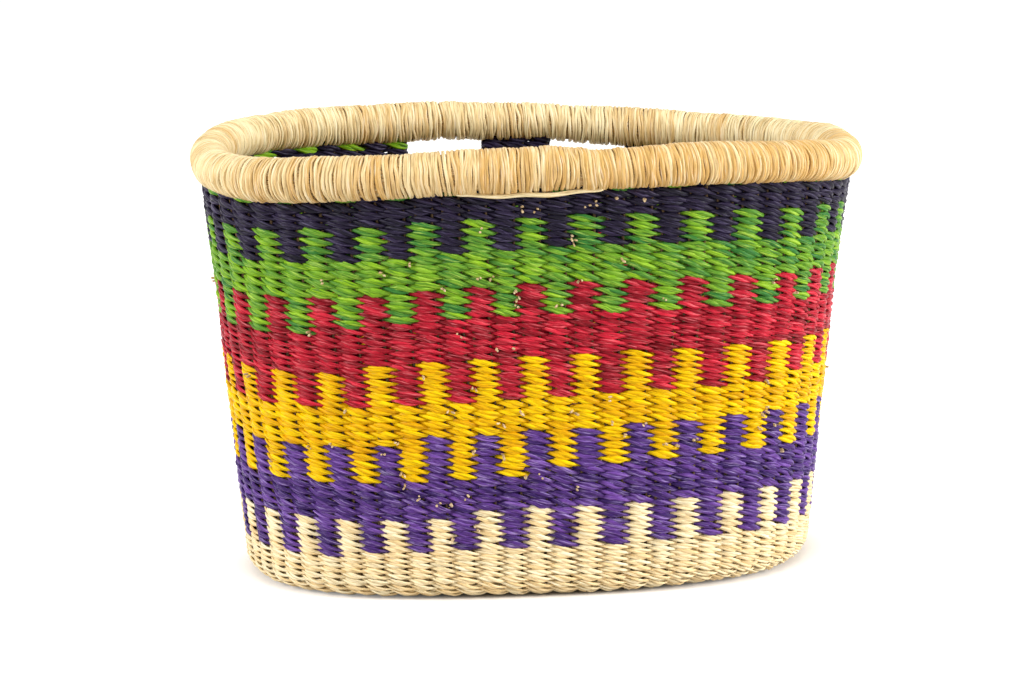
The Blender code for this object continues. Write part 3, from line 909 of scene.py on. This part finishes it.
def tuck_straw():
    part = np.linspace(0, 1, TUCKED_STEPS)
    share = (TUCKED_FROM + (TUCKED_TO - TUCKED_FROM) * part) / UPRIGHTS
    climb = TUCKED_CLIMB + TUCKED_WAVER * np.sin(17 * part)
    climb = climb - TUCKED_SAG * np.sin(math.pi * part) ** 0.5
    out = TUCKED_OUT + TUCKED_WAVER * np.sin(11 * part + 1)
    radii = TUCKED_RADIUS * (0.75 + 0.25 * np.sin(math.pi * part))
    tints = np.full(TUCKED_STEPS, TUCKED_TINT)
    return [(lay(share, climb, out), outward_at(share, climb), radii, tints, False)]


tucked_straws = tuck_straw()

# %% [markdown]
# ## Shader maths
# Writing a material as sums is shorter than placing nodes one by one. This class wraps one output
# of a node: adding or multiplying two of them adds the Math node that does it.

# %% A socket that can be used in sums
class Signal:
    def __init__(self, tree, socket=None):
        self.tree, self.socket = tree, socket

    def node(self, kind, settings=None, sockets=None, output=0):
        """Any node: its settings first, then the values or links of its sockets."""
        made = self.tree.nodes.new(kind)
        for name, value in (settings or {}).items():
            setattr(made, name, value)
        for name, value in (sockets or {}).items():
            if isinstance(value, Signal):
                self.tree.links.new(value.socket, made.inputs[name])
            else:
                made.inputs[name].default_value = value
        return Signal(self.tree, made.outputs[output])

    def math(self, operation, *values):
        return self.node("ShaderNodeMath", {"operation": operation}, dict(enumerate(values)))

    def __add__(self, other):
        return self.math("ADD", self, other)

    def __sub__(self, other):
        return self.math("SUBTRACT", self, other)

    def __rsub__(self, other):
        return self.math("SUBTRACT", other, self)

    def __mul__(self, other):
        return self.math("MULTIPLY", self, other)

    __radd__, __rmul__ = __add__, __mul__

    def between(self, low, high):
        """0 below low, 1 above high, smooth between."""
        return self.node("ShaderNodeMapRange", {"interpolation_type": "SMOOTHSTEP"},
                         {"Value": self, "From Min": low, "From Max": high})

    def mix(self, first, second):
        """A colour between two colours, where this signal is the share of the second."""
        colours = [value if isinstance(value, Signal) else (*value, 1) for value in (first, second)]
        return self.node("ShaderNodeMix", {"data_type": "RGBA"},
                         {0: self, 6: colours[0], 7: colours[1]}, output=2)


# %% [markdown]
# ## Straw
# Dried straw has a dull sheen and is finely ribbed along its length. The dye takes unevenly: it is
# pale in streaks along the fibres and differs from stitch to stitch. So the colour is a mix of a
# deep and a bright dye by the stitch's tint, with long thin streaks from a noise that is stretched
# along the straw. The pale streaks are partly undyed fibre and partly painted highlights, and the
# dark streaks between them are painted shade. The same streaks vary the roughness and make the
# ribs.

# %% Materials of the straw
SHEEN = 0.12
# How fine the two noises are along, across and through a straw
FIBRE_SCALE, PATCH_SCALE = (90, 1600, 1600), (35, 500, 500)
# How much the tint and the patches turn the dye from deep to bright
TINT_WEIGHT, PATCH_WEIGHT, BRIGHT_FROM = 1.1, 0.6, 0.35
# Where the streaks are pale (undyed fibre and painted highlight) and where they are darkened as
# painted shade, and how strongly
PALE_AND_HIGHLIGHT_RANGE, PALE_AND_HIGHLIGHT_STRENGTH = (0.51, 0.72), 0.6
PAINTED_SHADE_RANGE, PAINTED_SHADE_STRENGTH, PAINTED_SHADE_DEPTH = (0.46, 0.66), 0.75, 0.5
ROUGHNESS_FROM, ROUGHNESS_RANGE = 0.25, 0.3
RIB_STRENGTH, RIB_HEIGHT = 0.35, 0.0002


def make_straw_material(name, deep, bright, pale_and_highlight):
    material = bpy.data.materials.new(name)
    material.use_nodes = True
    tree = material.node_tree
    shader = tree.nodes["Principled BSDF"]
    start = Signal(tree)
    tint = start.node("ShaderNodeAttribute", {"attribute_name": "tint"}, output=2)
    place = start.node("ShaderNodeAttribute", {"attribute_name": "fibre"}, output=1)
    fibres = start.node("ShaderNodeMapping", {}, {"Vector": place, "Scale": FIBRE_SCALE})
    streak = start.node("ShaderNodeTexNoise", {},
                        {"Vector": fibres, "Scale": 1, "Detail": 4, "Roughness": 0.6})
    patches = start.node("ShaderNodeMapping", {}, {"Vector": place, "Scale": PATCH_SCALE})
    patch = start.node("ShaderNodeTexNoise", {}, {"Vector": patches, "Scale": 1, "Detail": 2})
    dye = (tint * TINT_WEIGHT + patch * PATCH_WEIGHT - BRIGHT_FROM).mix(deep, bright)
    # Pale streaks: partly undyed fibre, partly painted highlight
    dye = (streak.between(*PALE_AND_HIGHLIGHT_RANGE) * PALE_AND_HIGHLIGHT_STRENGTH).mix(dye, pale_and_highlight)
    # Dark streaks: painted shade
    painted_shade = (1 - streak).between(*PAINTED_SHADE_RANGE) * PAINTED_SHADE_STRENGTH
    dye = painted_shade.mix(dye, tuple(value * PAINTED_SHADE_DEPTH for value in deep))
    rough = streak * ROUGHNESS_RANGE + ROUGHNESS_FROM
    ribs = start.node("ShaderNodeBump", {},
                      {"Height": streak, "Strength": RIB_STRENGTH, "Distance": RIB_HEIGHT})
    shader.inputs["Specular IOR Level"].default_value = SHEEN
    tree.links.new(dye.socket, shader.inputs["Base Color"])
    tree.links.new(rough.socket, shader.inputs["Roughness"])
    tree.links.new(ribs.socket, shader.inputs["Normal"])
    return material


# Each finish has a deep, a bright and a pale colour. The pale one is for streaks that are partly
# undyed fibre and partly painted highlight
FINISHES = {
    "natural": ((0.95, 0.71, 0.355), (1, 0.90, 0.61), (1, 0.96, 0.84)),
    "purple": ((0.037, 0.012, 0.11), (0.18, 0.070, 0.37), (0.53, 0.43, 0.73)),
    "yellow": ((0.78, 0.39, 0), (0.97, 0.68, 0), (0.99, 0.80, 0.01)),
    "red": ((0.22, 0.003, 0.010), (0.68, 0.018, 0.045), (0.86, 0.25, 0.27)),
    "green": ((0.035, 0.185, 0.032), (0.25, 0.48, 0.012), (0.60, 0.76, 0.14)),
    "navy": ((0.004, 0.003, 0.009), (0.021, 0.013, 0.041), (0.15, 0.13, 0.23)),
    "rim": ((0.72, 0.44, 0.140), (0.95, 0.80, 0.465), (0.98, 0.92, 0.78)),
    "cut": ((0.48, 0.31, 0.14), (0.80, 0.62, 0.38), (0.90, 0.78, 0.56)),
    # The stakes are natural straw, but their finish is dark brown: painted shade for the gaps in
    # the weave where they show
    "stake": ((0.07, 0.04, 0.018), (0.16, 0.10, 0.045), (0.25, 0.17, 0.08)),
}
STRAWS = {name: make_straw_material(f"straw_{name}_finish", *colours)
          for name, colours in FINISHES.items()}
print(len(STRAWS), "finishes")

# %% Turn the straws into pieces
# The most straws in one piece of a colour, and how flat the woven straws are pressed
PIECE_STRAWS = 38
WALL_FLATNESS = 0.18
# The outer rounds of the base are the longest, so fewer of them make a piece of the same size
OUTER_ROUNDS = 3 / 8


def finish_piece(name, straws, flatness, finish, slot, *nodes):
    """A piece of the basket, with the solids of the frame that it stands for, if any."""
    piece = make_straws(name, straws, flatness)
    piece.data.materials.append(STRAWS[finish])
    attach(piece, BODY)
    if nodes:
        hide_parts(*nodes)


def finish_colour(colour, straws, *nodes):
    """A colour has too many straws for one piece, so it becomes a few pieces of equal size."""
    parts = math.ceil(len(straws) / PIECE_STRAWS)
    size = math.ceil(len(straws) / parts)
    for part in range(parts):
        group = straws[part * size:(part + 1) * size]
        finish_piece(f"twined_{colour}_{part + 1}", group, WALL_FLATNESS, colour,
                     f"straw_{colour}", *nodes)


bridge_straws = wall_straws.pop("bridge")
for colour, straws in wall_straws.items():
    finish_colour(colour, straws, "base_weft_outside" if colour == "natural" else f"weft_{colour}")
finish_piece("twined_bridge", bridge_straws, WALL_FLATNESS, "navy", "straw_navy", "slot_bridge")

outer_strands = int(len(base_straws) * OUTER_ROUNDS)
outer = [straw for pair in base_straws[:outer_strands] for straw in pair]
inner = [straw for pair in base_straws[outer_strands:] for straw in pair]
finish_piece("twined_base_outer", outer, WALL_FLATNESS, "natural", "straw_natural",
             "base_weft_outside")
finish_piece("twined_base_inner", inner, WALL_FLATNESS, "natural", "straw_natural",
             "base_weft_inside")
bindings = [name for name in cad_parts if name.startswith("rim_binding")]
finish_piece("rim_coil", rim_straws, BINDING_FLATNESS, "rim", "straw_rim", *bindings)
finish_piece("rim_bundle", bundle_straws, 0, "rim", "straw_stake", "rim_core")
stakes = [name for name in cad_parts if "stake" in name]
# The stakes' dark finish is painted shade in the gaps between the stitches
finish_piece("stake_straws", stake_straws, 0, "stake", "straw_stake", *stakes)
finish_piece("cut_ends", cut_straws, 0, "cut", "straw_natural")
finish_piece("tucked_binding", tucked_straws, BINDING_FLATNESS, "rim", "straw_rim", "tucked_straw")

# %% [markdown]
# ## Floor and light
# The basket stands on a white floor that has no horizon. Turning up the lamps until the floor is
# white would bleach the straw. So the lamps stay at a plain level, and what only the camera sees is
# lifted: the world is white for its rays, and the floor gets whiter with distance from the basket.
# That goes in two steps, so the dark line where the basket stands stays, the soft shadow beside it
# is faint, and farther out all is white. One lamp stands on each side and a weak one above, so the
# ends of the basket are lighter than its middle.

# %% Floor
FLOOR_SIZE = 6
FLOOR_COLOUR = (0.78, 0.745, 0.715, 1)
FLOOR_ROUGHNESS, FLOOR_SHEEN = 0.9, 0.1
# Distances from the basket's middle where the lift starts, is faint, and is full
CONTACT_REACH, SHADOW_REACH, WHITE_FROM = 0.098, 0.135, 0.20
SHADOW_LIFT, FULL_LIFT = 0.65, 1.1
# The basket is oblong, so its shadow is too
FLOOR_SQUEEZE = (0.72, 1, 1)


def seen_directly(tree):
    """1 for rays from the camera, also by way of shiny or clear things, 0 for the rest."""
    rays = [Signal(tree).node("ShaderNodeLightPath", output=name)
            for name in ("Is Camera Ray", "Is Glossy Ray", "Is Transmission Ray")]
    return rays[0].math("MAXIMUM", rays[0].math("MAXIMUM", rays[0], rays[1]), rays[2])


def make_floor():
    bm = bmesh.new()
    bmesh.ops.create_grid(bm, x_segments=1, y_segments=1, size=FLOOR_SIZE)
    mesh = bpy.data.meshes.new("floor")
    bm.to_mesh(mesh)
    bm.free()
    floor = bpy.data.objects.new("floor", mesh)
    bpy.context.scene.collection.objects.link(floor)
    material = bpy.data.materials.new("floor_white")
    material.use_nodes = True
    tree = material.node_tree
    shader = tree.nodes["Principled BSDF"]
    shader.inputs["Base Color"].default_value = FLOOR_COLOUR
    shader.inputs["Roughness"].default_value = FLOOR_ROUGHNESS
    shader.inputs["Specular IOR Level"].default_value = FLOOR_SHEEN
    place = Signal(tree).node("ShaderNodeTexCoord", output="Object")
    place = place.node("ShaderNodeMapping", {}, {"Vector": place, "Scale": FLOOR_SQUEEZE})
    away = place.node("ShaderNodeVectorMath", {"operation": "LENGTH"}, {0: place}, output="Value")
    near = away.between(CONTACT_REACH, SHADOW_REACH) * SHADOW_LIFT
    far = away.between(SHADOW_REACH, WHITE_FROM) * (FULL_LIFT - SHADOW_LIFT)
    lift = (near + far) * seen_directly(tree)
    glow = lift.mix((0, 0, 0), (1, 1, 1))
    tree.links.new(glow.socket, shader.inputs["Emission Color"])
    shader.inputs["Emission Strength"].default_value = 1
    mesh.materials.append(material)


make_floor()

# %% Light
WORLD_LIGHT, WORLD_SEEN = 0.42, 1.05
LAMP_AIM = Vector((0, 0, 0.1))


def make_lamp(name, place, size, power):
    light = bpy.data.lights.new(name, "AREA")
    light.size = size
    light.energy = power
    lamp = bpy.data.objects.new(name, light)
    lamp.location = place
    lamp.rotation_euler = (LAMP_AIM - Vector(place)).to_track_quat("-Z", "Y").to_euler()
    bpy.context.scene.collection.objects.link(lamp)


make_lamp("left", (-2.1, -0.75, 1.2), size=0.8, power=38)
make_lamp("right", (2.1, -0.85, 0.8), size=0.9, power=50)
make_lamp("top", (0, -0.8, 2.1), size=1.6, power=18)
world = bpy.data.worlds.new("studio")
world.use_nodes = True
background = world.node_tree.nodes["Background"]
background.inputs["Color"].default_value = (1, 1, 1, 1)
bright = seen_directly(world.node_tree) * (WORLD_SEEN - WORLD_LIGHT) + WORLD_LIGHT
world.node_tree.links.new(bright.socket, background.inputs["Strength"])
bpy.context.scene.world = world
bpy.context.scene.view_settings.view_transform = "Standard"
